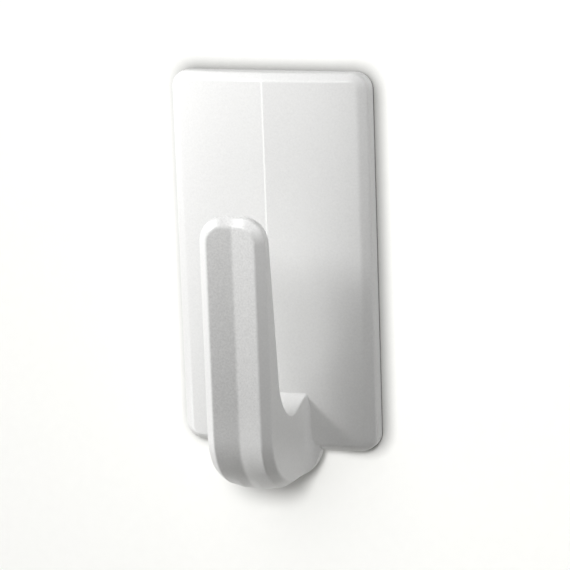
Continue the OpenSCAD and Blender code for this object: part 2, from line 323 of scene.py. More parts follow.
FLOOR_FILLET, FILLET_RISE, FILLET_POWER = 0.5, 0.75, 2.5
RIDGE_IN, HEEL_R, HEEL_CURVE = 4.6356, 1.5, 0.4
floor_first = math.pi / 2 + math.atan(math.tan(FLOOR_SLOPE) * FLOOR_R / FLOOR_DEEP)
floor_last = math.atan(math.tan(ARM_LEAN) * FLOOR_DEEP / FLOOR_R)
floor_start = floor_curve(floor_first)
floor_corner = Vector((RIDGE_OUT, floor_start.y + (floor_start.x - RIDGE_OUT) * math.tan(FLOOR_SLOPE)))


def floor_at(height):
    """Height of the sloping floor at a distance from the plate, with a fillet that runs up the plate."""
    slope_z = floor_corner.y - height * math.tan(FLOOR_SLOPE)
    rest = max(0.0, 1 - max(height, 0.0) / FLOOR_FILLET)
    return slope_z + FILLET_RISE * FLOOR_FILLET * rest ** FILLET_POWER


def heel_at(out):
    """Height of the underside, which curves up at the heel's back edge."""
    return UNDER_Z + HEEL_CURVE * max(RIDGE_IN + HEEL_R - out, 0.0) ** 2


print("the floor meets the plate", round(floor_corner.y, 2), "mm up")

# %% Rows of the J, from inside the plate to the foot of the tip
BEND_STEPS, ARM_STEPS = 28, 6
ROOT_HEIGHTS = (-3.0, -2.2, -1.6, -1.1, -0.6, -0.1, 0.02, 0.12, 0.3, 0.6, 1.0, 1.6, 2.3, 3.0, 4.2)


def between(first, last, share):
    """The value that lies a share of the way from first to last."""
    return first + (last - first) * share


rows = []
for height in ROOT_HEIGHTS:
    out = RIDGE_OUT + height
    rows.append((Vector((out, floor_at(height))), Vector((out, heel_at(out)))))
for step in range(BEND_STEPS + 1):
    share = step / BEND_STEPS
    inner = floor_curve(between(floor_first, floor_last, share))
    rows.append((inner, around((BEND_OUT, BEND_Z), BEND_R, BEND_R, (1 - share) * math.pi / 2)))
bend_end, arm_back = rows[-1][0], Vector((ARM_FRONT - ARM_TIP_T, TIP_Z))
for step in range(1, ARM_STEPS + 1):
    share = step / ARM_STEPS
    rows.append((between(bend_end, arm_back, share), Vector((ARM_FRONT, between(BEND_Z, TIP_Z, share)))))
print(len(rows), "rows along the J")

# %% [markdown]
# The strip starts from one edge of a plane, put on the first row. Extruding that edge makes a face, and
# the new edge's inner end then moves to where the next row has it. By hand you would repeat this along a
# background picture. A loop over the rows does the same.

# %% Strip of faces along the rows, extruded sideways
def near(*spots):
    """Rule for the corners at one of some spots, each given as (out, up)."""
    return lambda at, corner: any((Vector((at.y, at.z)) - spot).length < SAME for spot in spots)


def pull(x=0.0, out=0.0, up=0.0):
    """Extrude what is selected, by a distance in mm."""
    bpy.ops.mesh.extrude_region_move(TRANSFORM_OT_translate={"value": (x * MM, -out * MM, up * MM)})


arm = start("hook_arm", bpy.ops.mesh.primitive_plane_add, size=10 * MM)
pick(arm, "VERT", lambda at, corner: corner.index > 1)
bpy.ops.mesh.delete(type="VERT")
ends = [corner.co.copy() for corner in bmesh.from_edit_mesh(arm.data).verts]
for end, spot in zip(ends, rows[0]):
    pick(arm, "VERT", lambda at, corner: (corner.co - end).length < SAME * MM)
    move(x=-end.x / MM, out=spot.x + end.y / MM, up=spot.y - end.z / MM)

inner, outer = rows[0]
for next_inner, next_outer in rows[1:]:
    pick(arm, "VERT", near(inner, outer))
    step = next_outer - outer
    pull(out=step.x, up=step.y)
    rest = next_inner - inner - step
    pick(arm, "VERT", near(inner + step))
    move(out=rest.x, up=rest.y)
    inner, outer = next_inner, next_outer

bpy.ops.mesh.select_all(action="SELECT")
for width in (TIP_HALF, FACET_HALF - TIP_HALF, ARM_HALF - FACET_HALF):
    pull(x=width)
pick(arm, "FACE", lambda at, face: at.x < HAIR)
bpy.ops.mesh.delete(type="ONLY_FACE")
print("half of the J:", face_count(arm), "faces")

# %% [markdown]
# The outer edges are bevelled: along the front and the underside the outermost column of corners moves
# in, and round the bend it shrinks towards the bend's own axis. The tip is a quarter turn of the arm's
# end section about a line through the arm, which Spin makes, and a flat piece between the two turns.

# %% Bevelled outer edge
BEVEL_T = 1.35


def outside(at):
    """True for the corners on the J's outer outline, before its section is shaped."""
    bend = Vector((at.y - BEND_OUT, at.z - BEND_Z))
    round_the_bend = bend.x > -HAIR and bend.y < HAIR and bend.length > BEND_R - 2 * HAIR
    underneath = at.y < BEND_OUT and at.z < heel_at(at.y) + HAIR
    return at.y > ARM_FRONT - HAIR or round_the_bend or underneath


def outer_edge(at):
    """True for the corners where the J's outer outline meets its side."""
    return at.x > ARM_HALF - HAIR and outside(at)


pick(arm, "VERT", lambda at, corner: outer_edge(at) and at.z > BEND_Z + HAIR)
move(out=-BEVEL_T)
pick(arm, "VERT", lambda at, corner: outer_edge(at) and at.y < BEND_OUT - HAIR)
move(up=BEVEL_T)
round_bend = pick(arm, "VERT", lambda at, corner: outer_edge(at) and at.y > BEND_OUT - HAIR)
shrink = (BEND_R - BEVEL_T) / BEND_R
bpy.ops.transform.resize(value=(1, shrink, shrink), center_override=(0, -BEND_OUT * MM, BEND_Z * MM))
print("bevel of", BEVEL_T, "mm, over", round_bend, "corners round the bend")

# %% Round tip
TIP_STEPS, TIP_WELD = 12, 0.002
pick(arm, "FACE", lambda at, face: at.z > TIP_Z - HAIR and at.x > TIP_HALF)
bpy.ops.mesh.spin(steps=TIP_STEPS, angle=math.pi / 2, axis=(0, 1, 0),
                  center=(TIP_HALF * MM, 0, TIP_Z * MM))
pick(arm, "FACE", lambda at, face: abs(at.z - TIP_Z) < HAIR and at.x < TIP_HALF)
for rise in (FACET_HALF - TIP_HALF, ARM_HALF - FACET_HALF):
    pull(up=rise)
pick(arm, "VERT", lambda at, corner: at.z > ARM_TOP - HAIR and at.y > ARM_FRONT - HAIR)
move(out=-BEVEL_T)
bpy.ops.mesh.select_all(action="SELECT")
bpy.ops.mesh.remove_doubles(threshold=TIP_WELD * MM)
pick(arm, "FACE", lambda at, face: at.x < HAIR
     or abs(at.x - TIP_HALF) < HAIR and at.z > TIP_Z and abs(face.normal.x) > SQUARELY)
bpy.ops.mesh.delete(type="ONLY_FACE")
bpy.ops.mesh.select_all(action="SELECT")
bpy.ops.mesh.delete_loose()
print("with its tip:", face_count(arm), "faces")

# %% [markdown]
# The V groove runs down the front, up through the tip's bevel, and fades out round the bend, where a
# belly takes over. Each corner of the two inner columns gets its own small move, worked out from the two
# surfaces that meet there: whichever of belly and groove lies deeper is the one you see.

# %% Depths of the groove and the belly
GROOVE_T, GROOVE_FADE, BELLY_T = 1.0, 0.7, 0.75
GROOVE_R = BEND_R + BELLY_T + GROOVE_FADE
GROOVE_BACK = BEND_R - GROOVE_T - GROOVE_R


def groove_at(x):
    """Depth of the groove at a distance x from the middle, in mm."""
    return GROOVE_T * max(0.0, 1 - x / FACET_HALF)


def belly_at(x):
    """Height of the belly at a distance x from the middle, in mm."""
    return BELLY_T * (1 - (x / FACET_HALF) ** 2)


def bend_shift(at):
    """Radial move of a corner in the bend, out to the belly or in to the groove."""
    angle = math.atan2(BEND_Z - at.z, at.y - BEND_OUT)
    groove_edge = GROOVE_R + GROOVE_T - groove_at(at.x)
    reach = math.sqrt(groove_edge ** 2 - (GROOVE_BACK * math.sin(angle)) ** 2)
    to_groove = GROOVE_BACK * math.cos(angle) + reach - BEND_R
    rise = min(belly_at(at.x), to_groove)
    return 0, rise * math.cos(angle), -rise * math.sin(angle)


print("the groove is", groove_at(0), "mm deep, and the belly", belly_at(0), "mm high")

# %% Groove and belly
TIP_NOTCH = 0.45   # share of the groove's depth that is left in the tip's bevel


def shape(piece, rule, shift):
    """Move each corner that passes a rule by its own amount; shift(at) gives x, out and up in mm."""
    bpy.ops.mesh.select_mode(type="VERT")
    bpy.ops.mesh.select_all(action="DESELECT")
    mesh = bmesh.from_edit_mesh(piece.data)
    mesh.verts.ensure_lookup_table()
    spots = [Vector((corner.co.x, -corner.co.y, corner.co.z)) / MM for corner in mesh.verts]
    for corner, spot in zip(mesh.verts, spots):
        if rule(spot):
            corner.select_set(True)
            move(*shift(spot))
            corner.select_set(False)


def inner_columns(at):
    return at.x < FACET_HALF - HAIR


def in_bend(at):
    return inner_columns(at) and outside(at) and at.z < BEND_Z + HAIR and at.y > BEND_OUT - HAIR


shape(arm, in_bend, bend_shift)
shape(arm, lambda at: inner_columns(at) and outside(at) and at.y < BEND_OUT - HAIR,
      lambda at: (0, 0, -belly_at(at.x)))
shape(arm, lambda at: inner_columns(at) and at.y > ARM_FRONT - HAIR and at.z > BEND_Z + HAIR,
      lambda at: (0, -groove_at(at.x), 0))
shape(arm, lambda at: inner_columns(at) and abs(at.y - ARM_FRONT + BEVEL_T) < HAIR and at.z > TIP_Z,
      lambda at: (0, -groove_at(at.x) * TIP_NOTCH, 0))
print("section shaped, with", TIP_NOTCH, "of the groove left in the tip")

# %% [markdown]
# So far this is half an arm. A Mirror modifier adds the other half and closes the seam. The edges then
# get small radii, as on the plate, but only where two faces meet at an angle that the eye takes for an
# edge: the rows round the bend meet at a few degrees and stay. The groove's valley is rounded a little
# more than the edges, because otherwise the two bevels cross in the tip's notch.

# %% Whole arm with soft edges
EDGE_ANGLE, GROOVE_SOFT, ARM_SOFT = math.radians(14), 0.4, 0.35
ROOT_CLEAR, MIDDLE_WELD = 1.0, 0.005


def select_alone(piece):
    """Select one object, and make it the one that operators act on."""
    bpy.ops.object.select_all(action="DESELECT")
    piece.select_set(True)
    bpy.context.view_layer.objects.active = piece


def finish_with(piece, name, kind, **settings):
    """Add a modifier with its settings and apply it."""
    select_alone(piece)
    modifier = piece.modifiers.new(name, kind)
    for setting, value in settings.items():
        setattr(modifier, setting, value)
    bpy.ops.object.modifier_apply(modifier=name)


def is_edge(at, edge):
    """True for an edge that the eye sees as one, and that doesn't run along a row near the plate."""
    first, last = (corner.co.y for corner in edge.verts)
    one_row = abs(first - last) < SAME * MM and at.y < BEND_OUT - ROOT_CLEAR
    return edge.calc_face_angle() > EDGE_ANGLE and not one_row


close()
finish_with(arm, "both_halves", "MIRROR", use_axis=(True, False, False), use_clip=True,
            merge_threshold=MIDDLE_WELD * MM)
bpy.ops.object.mode_set(mode="EDIT")
face_outwards()
in_valley = pick(arm, "EDGE", lambda at, edge: is_edge(at, edge) and abs(at.x) < HAIR
                 and at.y > FLOOR_OUT)
soften(GROOVE_SOFT, steps=3)
on_edges = pick(arm, "EDGE", lambda at, edge: is_edge(at, edge)
                and (abs(at.x) > GROOVE_SOFT + NEAR or at.z > TIP_Z + TIP_R / 2))
soften(ARM_SOFT, steps=4)
print("softened", in_valley, "edges in the groove's valley and", on_edges, "others")

# %% [markdown]
# Where the arm meets the plate, its sides flare out in a hollow curve that tapers off at the top, and
# below the plate they end in a round heel. The side faces there have only two corners each, so their row
# edges are subdivided first. The plate's front leans, so the last rows lean with it.

# %% Curve of the flare
ROOT_R, ROOT_TAPER, ROOT_BITE = 1.4, 3.6, 0.3   # radius, height of the taper, and reach inside the plate
HEEL_FLARE, HEEL_BLEND = 3.0, 3.0               # radius at the heel, and the height over which it grows
HEEL_RISE, HEEL_TRIM = 2.2, 0.08                # the heel's middle above the plate's end, and a trim
root_top = floor_at(0.0)
heel_z, heel_top = PLATE_BOTTOM + HEEL_RISE, PLATE_BOTTOM + HEEL_BLEND
heel_round = ARM_HALF + HEEL_FLARE - HEEL_TRIM


def kept_in(share):
    """A share kept between 0 and 1."""
    return min(max(share, 0.0), 1.0)


def flare(at):
    """How far a corner near the arm's side moves out, at its distance from the plate and its height."""
    height = at.y - RIDGE_OUT
    radius = between(ROOT_R, HEEL_FLARE, kept_in((heel_top - at.z) / HEEL_BLEND))
    reach = radius + ROOT_BITE
    if height > 0:
        reach = radius - math.sqrt(max(0.0, radius ** 2 - max(0.0, radius - height) ** 2))
    reach *= kept_in((root_top - at.z) / ROOT_TAPER)
    if at.z < heel_z:
        heel = math.sqrt(max(heel_round ** 2 - (at.z - heel_z) ** 2, 0.0)) - ARM_HALF
        reach = min(reach, max(heel, 0.0))
    return math.copysign(reach * (abs(at.x) - FACET_HALF) / (ARM_HALF - FACET_HALF), at.x)


print("root flared by", ROOT_R, "mm, and by", HEEL_FLARE, "mm at the heel")

# %% Flared root
ROOT_LEVELS, LONG_EDGE = 11, 5.0
root_out = RIDGE_OUT + ROOT_HEIGHTS[-1] + HAIR


def up_the_side(at, edge):
    """True for a long edge up the arm's side near the plate, all at one distance from the wall."""
    first, last = (corner.co for corner in edge.verts)
    along_row = abs(first.y - last.y) < HAIR * MM and (first - last).length > LONG_EDGE * MM
    return abs(at.x) > ARM_HALF - HAIR and at.y < root_out and along_row


split = pick(arm, "EDGE", up_the_side)
bpy.ops.mesh.subdivide(number_cuts=ROOT_LEVELS)
shape(arm, lambda at: abs(at.x) > FACET_HALF and at.y < root_out and at.z < root_top,
      lambda at: (flare(at), 0, 0))
shape(arm, lambda at: abs(at.x) > HAIR and at.y < root_out,
      lambda at: (0, -front_drop(at.x) * min(1.0, (root_out - at.y) / HEEL_FLARE), 0))
close()
print("hook arm:", len(arm.data.polygons), "faces, with", split, "edges split at the root")

# %% [markdown]
# ## Joining and hollowing the cover
#
# The real cover is one moulding with an even wall: hollow behind, with two rails and a stop inside that
# hold it on the base, and two cores behind the thick root of the hook. Inset and extrude could hollow a
# plain box, but not one with an arm on it. So each hollow is modelled as the solid that fills it, and
# Boolean modifiers then add or take away one solid at a time.

# %% The hollow behind the front, with the way that the base takes
SHELL_T, OVER = 1.6, 1.0   # the cover's wall, and how far a cutting solid reaches past what it cuts
BASE_TOP, BASE_BOTTOM, BASE_W, FLANGE_W, FLANGE_BACK, SLIDE_GAP = 23.5, -26.5, 27.0, 1.8, 2.04, 0.25
FOLD_RATE = RIDGE_RISE / PANEL_HALF
HOOK_BOTTOM = UNDER_Z - BELLY_T
SLOT_HALF, HOLLOW_HALF = BASE_W / 2 + SLIDE_GAP, PLATE_W / 2 - SHELL_T
hollow_low, hollow_high = PLATE_BOTTOM + SHELL_T, PLATE_TOP - SHELL_T


def front_in(x):
    """Distance of the cover's inner front from the wall."""
    return RIDGE_IN - FOLD_RATE * abs(x)


hollow = block("cover_hollow", (-HOLLOW_HALF, -OVER, hollow_low),
               (HOLLOW_HALF, front_in(HOLLOW_HALF), hollow_high))
for column in (SLOT_HALF, -SLOT_HALF, 0):
    cut_at(x=column)
lift_columns(hollow, HOLLOW_HALF, lambda x: FOLD_RATE * (HOLLOW_HALF - abs(x)), behind=0)
pick(hollow, "EDGE", lambda at, edge: abs(at.x) > HOLLOW_HALF - NEAR
     and not hollow_low + NEAR < at.z < hollow_high - NEAR)
soften(CORNER_R - SHELL_T, steps=6)
pick(hollow, "FACE", lambda at, face: face.normal.z < -SQUARELY and abs(at.x) < SLOT_HALF)
pull(up=HOOK_BOTTOM - OVER - hollow_low)
face_outwards()
close()
print("hollow:", len(hollow.data.polygons), "faces")

# %% [markdown]
# The cores and the rails come in pairs. One of each is modelled on the right and copied across: the copy
# has its own mesh, mirrored by a scale of -1, which turns its faces inside out until the normals are
# recalculated. Each solid reaches a little into its neighbour, so that no two faces lie on each other.

# %% One core behind the root of the hook, and its copy
CORE_WALL, CORE_WEB = 2.3, 1.8
CORE_R, CORE_LOW = BEND_R - CORE_WALL, UNDER_Z + CORE_WALL


def copy_across(piece, name):
    """A copy with its own mesh on the other side of the middle, its normals put right again."""
    select_alone(piece)
    bpy.ops.object.duplicate()
    twin = bpy.context.active_object
    twin.name = name
    bpy.ops.object.mode_set(mode="EDIT")
    bpy.ops.mesh.select_all(action="SELECT")
    bpy.ops.transform.resize(value=(-1, 1, 1), center_override=(0, 0, 0))
    face_outwards()
    close()
    return twin


core_right = block("core_right", (CORE_WEB / 2, 0, CORE_LOW),
                   (ARM_HALF - CORE_WALL, BEND_OUT + CORE_R, BEND_Z))
pick(core_right, "EDGE", lambda at, edge: at.y > BEND_OUT + CORE_R - NEAR and at.z < CORE_LOW + NEAR)
soften(CORE_R - NEAR, steps=14)
close()
core_left = copy_across(core_right, "core_left")
print("cores leave a wall of", CORE_WALL, "mm")

# %% Rails with their lips, and the stop
RAIL_T, STOP_T, STOP_BITE = 1.5, 1.6, 0.2
RAIL_SHORT = 3.0   # the rails end this far above the base's lower end
LIP_IN, LIP_OUT = BASE_W / 2 - FLANGE_W + SLIDE_GAP, FLANGE_BACK - SLIDE_GAP
rail_low, rail_side = BASE_BOTTOM + RAIL_SHORT, SLOT_HALF + RAIL_T
rail_right = block("rail_right", (SLOT_HALF, WALL_GAP, rail_low),
                   (rail_side, front_in(rail_side) + SHELL_T / 2, BASE_TOP + STOP_T))
cut_at(out=LIP_OUT)
pick(rail_right, "FACE", lambda at, face: face.normal.x < -SQUARELY and at.y < LIP_OUT)
pull(x=LIP_IN - SLOT_HALF)
close()
rail_left = copy_across(rail_right, "rail_left")

stop_half = rail_side - STOP_BITE
stop = block("cover_stop", (-stop_half, WALL_GAP, BASE_TOP),
             (stop_half, front_in(stop_half) + SHELL_T / 2, BASE_TOP + STOP_T - STOP_BITE))
cut_at(x=0)
lift_columns(stop, stop_half, lambda x: FOLD_RATE * (stop_half - abs(x)), BACK_STAYS)
close()
print("rails reach down to", rail_low, "mm")

# %% [markdown]
# The arm joins the plate first, and the hollow is then cut out of both. Rails and stop stand in the
# hollow, so they come after it, and the cores last. Corners that the cuts left almost in one place are
# merged.

# %% One moulding from all of them
COVER_WELD = 0.003


def combine(piece, other, operation):
    """Add another solid to a piece or take it away, and delete that solid."""
    finish_with(piece, other.name, "BOOLEAN", object=other, operation=operation, solver="EXACT")
    bpy.data.objects.remove(other)


cover = plate
cover.name = "moulded_cover"
for other, operation in ((arm, "UNION"), (hollow, "DIFFERENCE"), (rail_right, "UNION"),
                         (rail_left, "UNION"), (stop, "UNION"), (core_right, "DIFFERENCE"),
                         (core_left, "DIFFERENCE")):
    combine(cover, other, operation)
bpy.ops.object.mode_set(mode="EDIT")
bpy.ops.mesh.select_all(action="SELECT")
bpy.ops.mesh.remove_doubles(threshold=COVER_WELD * MM)
bpy.ops.mesh.select_all(action="DESELECT")
bpy.ops.mesh.select_non_manifold()
loose = sum(corner.select for corner in bmesh.from_edit_mesh(cover.data).verts)
print("moulded cover:", face_count(cover), "faces,", loose, "corners on open edges")

# %% [markdown]
# Smooth by Angle shades the softened edges round, and Weighted Normal keeps the large faces flat. The
# middle line's left flank is so narrow that its large neighbours would take over its shading and hide
# it. So both its edges are marked sharp first.

# %% Shading of the cover
LINE_BAND, SMOOTH_UP_TO, LARGE_FACES_WIN = 0.5, math.radians(32), 50


def smooth(piece):
    """Shade softened edges smooth, and keep the shading of large flat faces flat."""
    select_alone(piece)
    bpy.ops.object.shade_smooth_by_angle(angle=SMOOTH_UP_TO)
    finish_with(piece, "flat_faces_stay_flat", "WEIGHTED_NORMAL", keep_sharp=True,
                weight=LARGE_FACES_WIN)


marked = pick(cover, "EDGE", lambda at, edge: abs(at.y - RIDGE_OUT) < LINE_BAND
              and sides(edge)[0] > SQUARELY and min(abs(at.x), abs(at.x + LINE_W)) < HAIR)
bpy.ops.mesh.mark_sharp()
close()
smooth(cover)
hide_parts("hook_cover")
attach(cover, "cover")
print(marked, "edges of the middle line kept sharp")

# %% [markdown]
# ## The mounting base
#
# Behind the cover, a flat moulded plate stays on the wall. Its long edges are stepped: a flange stands
# out on each side, and the cover's rails run behind the flanges. Three low ribs keep the cover from
# rattling, and a notch at the bottom bares the strip's pull tab. It could be extruded from one outline,
# but flanges, ribs and notch lie at different depths, so a block is cut and added to, as the cover was.

# %% Block with lead-in corners, stepped edges and a notch
BASE_BACK, BASE_FRONT = 1.04, 3.14
LEAD_IN, NOTCH_W, NOTCH_H = 3.0, 12.0, 3.5
notch_top = BASE_BOTTOM + NOTCH_H

base = block("moulded_base", (-BASE_W / 2, BASE_BACK, BASE_BOTTOM), (BASE_W / 2, BASE_FRONT, BASE_TOP))
pick(base, "EDGE", lambda at, edge: abs(at.x) > BASE_W / 2 - NEAR and at.z > BASE_TOP - NEAR)
soften(LEAD_IN, steps=1)
close()

step_right = block("step_right", (BASE_W / 2 - FLANGE_W, BASE_BACK - OVER, BASE_BOTTOM - OVER),
                   (BASE_W / 2 + OVER, FLANGE_BACK, BASE_TOP + OVER))
close()
step_left = copy_across(step_right, "step_left")
notch = block("tab_notch", (-NOTCH_W / 2, BASE_BACK - OVER, BASE_BOTTOM - NOTCH_H),
              (NOTCH_W / 2, BASE_FRONT + OVER, notch_top))
pick(notch, "EDGE", lambda at, edge: abs(at.x) > NOTCH_W / 2 - NEAR and at.z > notch_top - NEAR)
soften(NOTCH_H / 2, steps=8)
close()
for other in (step_right, step_left, notch):
    combine(base, other, "DIFFERENCE")
print("base block:", len(base.data.polygons), "faces")

# %% [markdown]
# A Bevel modifier softens all the block's sharp edges at once. It comes before the ribs, because a bevel
# round a rib's foot would run into itself. Each rib is a block with a rounded front, joined on after it.

# %% Soft edges and guide ribs
BASE_SOFT, BASE_EDGE_ANGLE = 0.2, math.radians(40)
RIB_W, RIB_PITCH, RIB_INSET, RIB_SOFT, RIB_BITE = 1.2, 7.0, 6.0, 0.25, 0.5
finish_with(base, "soft_edges", "BEVEL", width=BASE_SOFT * MM, segments=2, limit_method="ANGLE",
            angle_limit=BASE_EDGE_ANGLE)
for middle_x in (-RIB_PITCH, 0.0, RIB_PITCH):
    rib_front = front_in(abs(middle_x) + RIB_W / 2) - SLIDE_GAP
    rib = block("rib", (middle_x - RIB_W / 2, BASE_FRONT - RIB_BITE, BASE_BOTTOM + RIB_INSET),
                (middle_x + RIB_W / 2, rib_front, BASE_TOP - RIB_INSET))
    pick(rib, "EDGE", lambda at, edge: at.y > rib_front - HAIR)
    soften(RIB_SOFT, steps=3)
    close()
    combine(base, rib, "UNION")
smooth(base)
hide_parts("mounting_base")
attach(base, "base")
print("moulded base:", len(base.data.polygons), "faces")

# %% [markdown]
# ## The foam strip
#
# The strip is punched out of a sheet of soft foam. The punch rounds the pull tab's lower corners and
# presses the edges in a little as it cuts, so no edge is quite sharp. A plane with a Solidify modifier
# would give the sheet, but its edges would stay sharp. A block with those corners and edges bevelled is
# all that it needs.

# %% Strip with a rounded tab and pressed edges
STRIP_W, STICKY, TAB_LEN, TAB_R, GLUE_T, FOAM_T, PRESSED = 19.0, 43.0, 16.0, 3.0, 0.12, 0.8, 0.14
tab_low = -STICKY / 2 - TAB_LEN
foam = block("foam_strip", (-STRIP_W / 2, GLUE_T, tab_low), (STRIP_W / 2, GLUE_T + FOAM_T, STICKY / 2))
pick(foam, "EDGE", lambda at, edge: abs(at.x) > STRIP_W / 2 - NEAR and at.z < tab_low + NEAR)
soften(TAB_R, steps=10)
pick(foam, "EDGE", lambda at, edge: max(abs(side) for side in sides(edge)) > SQUARELY)
soften(PRESSED, steps=3)
close()
smooth(foam)
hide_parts("foam_core")
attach(foam, "base")
print("foam strip:", len(foam.data.polygons), "faces")

# %% [markdown]
# ## Finishes
#
# Every finish is drawn by nodes from Object coordinates, so it stays on its piece when the piece moves.
# Image textures would need files and UV maps. Noise and cell patterns need neither, and their sizes can
# be worked out from real millimetres: a pattern of 0.4 mm has a scale of 1000 / 0.4, because a Blender
# unit is a metre.

# %% Helpers for finishes
PER_MM = 1000.0


def linear(hex_colour):
    """Linear RGBA of an sRGB hex colour."""
    parts = [int(hex_colour[place:place + 2], 16) / 255 for place in (1, 3, 5)]
    return [p / 12.92 if p <= 0.04045 else ((p + 0.055) / 1.055) ** 2.4 for p in parts] + [1.0]


def add(material, kind, inputs=None, **settings):
    """Add a ShaderNode of a kind; an input is set to a value, or linked to another node's output."""
    node = material.node_tree.nodes.new("ShaderNode" + kind)
    for name, value in settings.items():
        setattr(node, name, value)
    for socket, value in (inputs or {}).items():
        if isinstance(value, bpy.types.NodeSocket):
            material.node_tree.links.new(value, node.inputs[socket])
        else:
            node.inputs[socket].default_value = value
    return node


def new_material(name):
    """An empty material, and the Object coordinates that its patterns are drawn in."""
    material = bpy.data.materials.new(name)
    material.use_nodes = True
    material.node_tree.nodes.clear()
    return material, add(material, "TexCoord").outputs["Object"]


def wear(material, surface, *pieces):
    """Put a shader on a material's output, and the material on its pieces."""
    add(material, "OutputMaterial", {"Surface": surface.outputs[0]})
    for piece in pieces:
        piece.data.materials.clear()
        piece.data.materials.append(material)
        print(material.name, "on", piece.name)


print("mid grey #808080 is", round(linear("#808080")[0], 3), "in linear light")

# %% [markdown]
# ### The cover's ABS
#
# White ABS, injection moulded in a mould whose faces were spark-eroded to a fine grain. The pellets give
# an even, neutral white. The grain breaks the gloss into a soft sheen with tiny speckles, and where the
# wall behind is thick, slow cooling draws broad, shallow sink marks. So the bump has two sizes, fine and
# broad, and the roughness follows the fine one: the tops of the grain are polished by hands.

# %% White tint, fine grain and broad sink marks
GRAIN, SINK = 0.42, 14.0   # mm; the real grain is near 0.1 mm, and is drawn coarser so that it shows
abs_gloss, spot = new_material("moulded_white_ABS")
grain = add(abs_gloss, "TexNoise", {"Vector": spot, "Scale": PER_MM / GRAIN, "Detail": 3.0,
                                    "Roughness": 0.6})
sink = add(abs_gloss, "TexNoise", {"Vector": spot, "Scale": PER_MM / SINK, "Detail": 1.0})
tint = add(abs_gloss, "Mix", {"Factor": grain.outputs["Fac"], "A": linear("#e6e6e5"),
                              "B": linear("#f8f8f7")}, data_type="RGBA")
print("grain drawn", GRAIN, "mm wide")

# %% [markdown]
# On the arm's two front facets the grain is coarser, and the facets are painted darker than the plate:
# painted shade, for the less light that falls on them. They could have a second material, but their
# borders are soft. So a mask finds them by their place: near the middle, far out from the wall and above
# the bend. It is the product of three shares, and each rises from 0 to 1 over a short way.

# %% Coarser grain and painted shade on the arm's facets
FACET_FADE = 0.4   # mm on each side of the facets' edges
FRONT_FROM, FRONT_FULL, BEND_FROM, BEND_FULL = 14.0, 20.0, -52.0, -36.0   # mm out, and mm up
place = add(abs_gloss, "SeparateXYZ", {"Vector": spot})
across = add(abs_gloss, "Math", {0: place.outputs["X"]}, operation="ABSOLUTE")
facet_grain_and_shade = 1.0
for where, begins, full in ((across.outputs[0], FACET_HALF + FACET_FADE, FACET_HALF - FACET_FADE),
                            (place.outputs["Y"], -FRONT_FROM, -FRONT_FULL),
                            (place.outputs["Z"], BEND_FROM, BEND_FULL)):
    share = add(abs_gloss, "MapRange", {"Value": where, "From Min": begins * MM, "From Max": full * MM})
    facet_grain_and_shade = add(abs_gloss, "Math", {0: facet_grain_and_shade, 1: share.outputs[0]}, operation="MULTIPLY").outputs[0]
# painted shade: this darker mix, multiplied in on the facets, darkens them as well as coarsening their
# grain
coarse_grain_and_shade = add(abs_gloss, "Mix", {"Factor": grain.outputs["Fac"], "A": linear("#dfdfdf"),
                                "B": linear("#fdfdfd")}, data_type="RGBA")
tint = add(abs_gloss, "Mix", {"Factor": facet_grain_and_shade, "A": tint.outputs[2], "B": coarse_grain_and_shade.outputs[2]},
           data_type="RGBA", blend_type="MULTIPLY")
print("facets reach", FACET_HALF, "mm to each side of the middle")

# %% Semi-gloss moulded ABS
gloss = add(abs_gloss, "MapRange", {"Value": grain.outputs["Fac"], "From Min": 0.3, "From Max": 0.7,
                                    "To Min": 0.44, "To Max": 0.3})
dents = add(abs_gloss, "Bump", {"Height": sink.outputs["Fac"], "Strength": 0.25, "Distance": 0.12 * MM})
speckle = add(abs_gloss, "Bump", {"Height": grain.outputs["Fac"], "Strength": 0.3, "Distance": 0.05 * MM,
                                  "Normal": dents.outputs[0]})
shader = add(abs_gloss, "BsdfPrincipled", {"Base Color": tint.outputs[2], "Roughness": gloss.outputs[0],
                                           "IOR": 1.53, "Normal": speckle.outputs[0]})
wear(abs_gloss, shader, cover)

# %% [markdown]
# ### The base's ABS
#
# The same plastic from a plainer mould: nobody sees the base, so its mould was left with the matt marks
# of the cutter and the stone. That gives a duller, slightly greyer white with a coarser grain, and faint
# upright streaks where the melt ran from the gate at the top. A Wave texture would draw them too evenly,
# so a Mapping node stretches a noise into them.

# %% Matt moulded ABS
STONE, STREAK, STREAK_SQUEEZE = 0.6, 2.2, 0.08   # two widths in mm, and a scale along the streaks
abs_matt, spot = new_material("moulded_matt_ABS")
grain = add(abs_matt, "TexNoise", {"Vector": spot, "Scale": PER_MM / STONE, "Detail": 3.0})
drawn = add(abs_matt, "Mapping", {"Vector": spot, "Scale": (1.0, 1.0, STREAK_SQUEEZE)})
flow = add(abs_matt, "TexNoise", {"Vector": drawn.outputs[0], "Scale": PER_MM / STREAK, "Detail": 2.0})
tint = add(abs_matt, "Mix", {"Factor": flow.outputs["Fac"], "A": linear("#e4e2dd"),
                             "B": linear("#efeeea")}, data_type="RGBA")
gloss = add(abs_matt, "MapRange", {"Value": flow.outputs["Fac"], "To Min": 0.5, "To Max": 0.66})
speckle = add(abs_matt, "Bump", {"Height": grain.outputs["Fac"], "Strength": 0.35,
                                 "Distance": 0.06 * MM})
shader = add(abs_matt, "BsdfPrincipled", {"Base Color": tint.outputs[2], "Roughness": gloss.outputs[0],
                                          "IOR": 1.53, "Normal": speckle.outputs[0]})
wear(abs_matt, shader, base)
